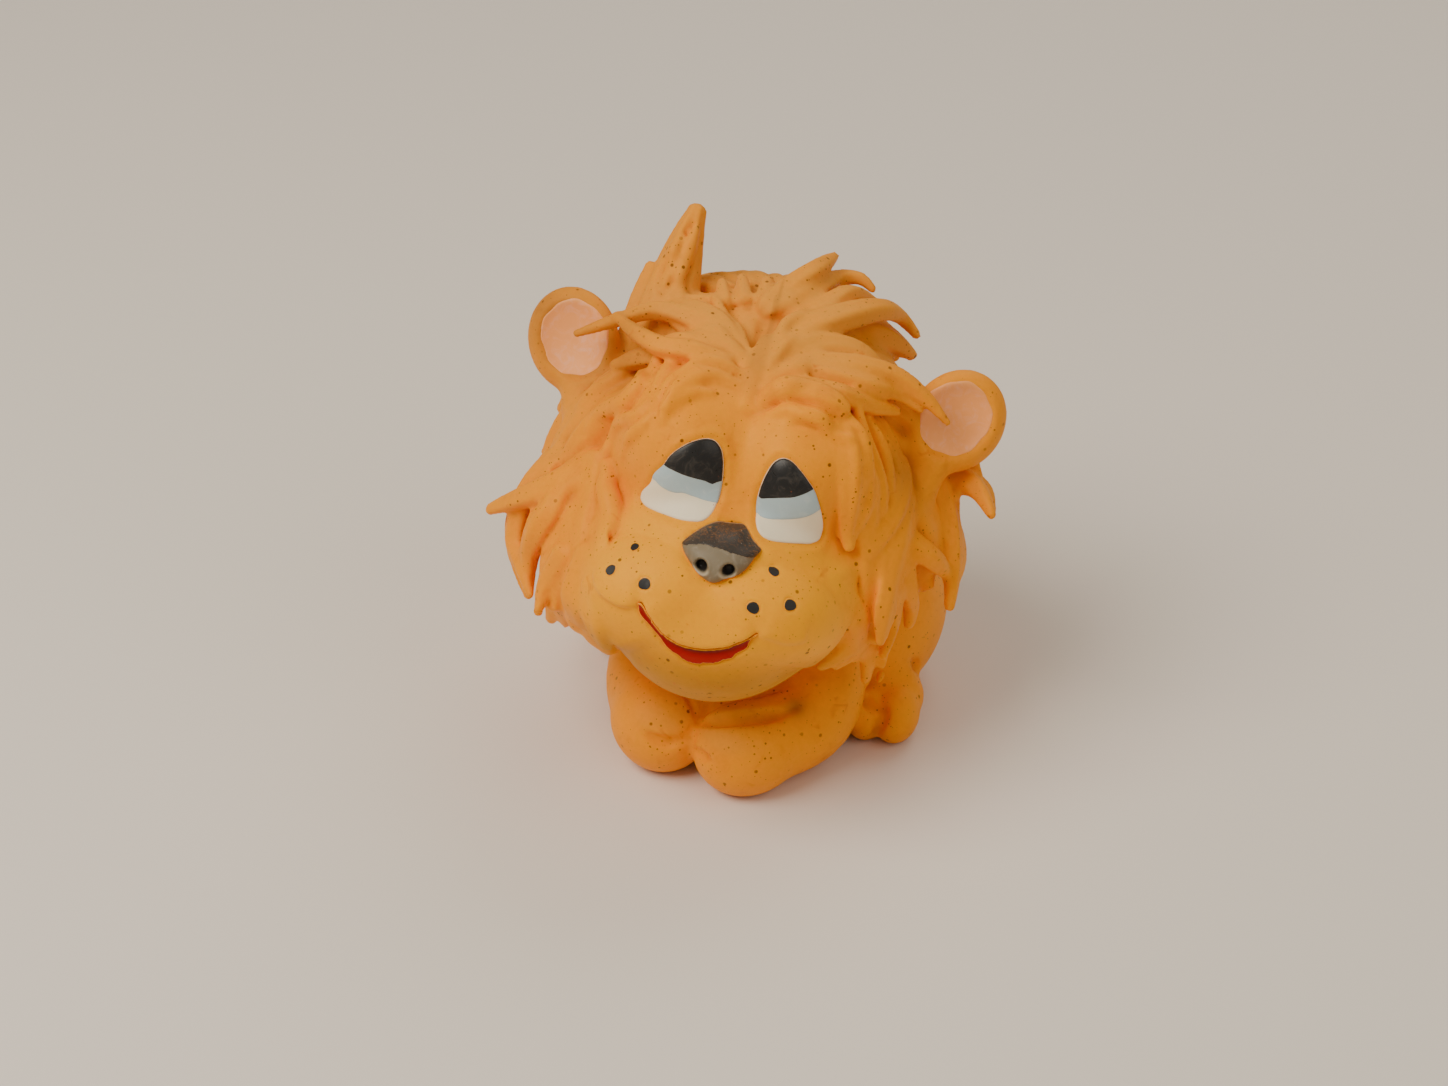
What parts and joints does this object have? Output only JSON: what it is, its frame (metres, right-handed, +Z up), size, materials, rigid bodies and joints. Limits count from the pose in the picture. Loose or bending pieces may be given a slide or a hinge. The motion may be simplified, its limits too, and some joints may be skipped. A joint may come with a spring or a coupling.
{
  "type": "squeaky dog toy",
  "caption": "Hollow latex dog toy shaped as a crouched lion with a very large head, tufted mane, round ears and a squeaker in the belly",
  "frame": {"origin": "middle of the flat belly that the toy rests on, at the ground", "axes": "+Z up, the lion faces -Y, and +X is its left side"},
  "size_m": [0.0903, 0.0984, 0.0976],
  "materials": {
    "latex": "satin natural latex, yellowish orange with small dark specks",
    "mane_latex": "satin latex with a thin tan-brown airbrushed coat",
    "ear_pink": "matte pink paint on latex",
    "eye_white": "satin off-white paint on latex",
    "eye_blue": "satin pale grey-blue paint on latex",
    "black_paint": "satin black paint on latex, a little worn",
    "nose_grey": "satin grey paint on latex",
    "mouth_red": "satin red paint on latex, chipped at its edge",
    "fibre": "white polyester fibre filling",
    "squeaker_plastic": "white moulded plastic"
  },
  "bodies": {
    "torso": {"torso_skin": "latex", "torso_filling": "fibre", "foreleg_left": "latex", "foreleg_right": "latex", "fore_paw_left": "latex", "fore_paw_right": "latex", "thigh_left": "latex", "thigh_right": "latex", "hind_foot_left": "latex", "hind_foot_right": "latex", "tail": "latex", "tail_tuft": "mane_latex", "squeaker_cup": "squeaker_plastic", "reed_holder": "squeaker_plastic", "reed_wedge": "squeaker_plastic"},
    "head": {"head_skin": "latex", "head_filling": "fibre", "ear_left": "latex", "ear_right": "latex", "ear_lining_left": "ear_pink", "ear_lining_right": "ear_pink", "eye_white_left": "eye_white", "eye_white_right": "eye_white", "eye_iris_left": "eye_blue", "eye_iris_right": "eye_blue", "eye_pupil_left": "black_paint", "eye_pupil_right": "black_paint", "nose": "nose_grey", "nose_top": "black_paint", "mouth": "mouth_red", "whisker_spot_left_1": "black_paint", "whisker_spot_left_2": "black_paint", "whisker_spot_left_3": "black_paint", "whisker_spot_right_1": "black_paint", "whisker_spot_right_2": "black_paint", "whisker_spot_right_3": "black_paint", "crown_tuft": "mane_latex", "forelock_right": "mane_latex", "forelock_left": "mane_latex", "temple_mane_right": "mane_latex", "temple_mane_left": "mane_latex", "side_mane_right": "mane_latex", "side_mane_left": "mane_latex", "cheek_mane_right": "mane_latex", "cheek_mane_left": "mane_latex", "beard_left": "mane_latex", "back_mane_right": "mane_latex", "back_mane_left": "mane_latex", "nape_mane_right": "mane_latex", "nape_mane_left": "mane_latex"},
    "reed_tongue": {"reed": "squeaker_plastic"}
  },
  "joints": [
    {"name": "squeeze", "type": "slide", "parent": "torso", "child": "head", "axis": [0, 0, -1], "range_m": [0, 0.005], "stiffness_N_per_m": 1500, "springref_m": -0.0015, "deforming": ["torso_skin", "torso_filling"]},
    {"name": "reed_flex", "type": "hinge", "parent": "torso", "child": "reed_tongue", "pos_m": [0, 0.0201, 0.01075], "axis": [-1, 0, 0], "range_deg": [-2, 6], "stiffness_Nm_per_rad": 0.002}
  ]
}
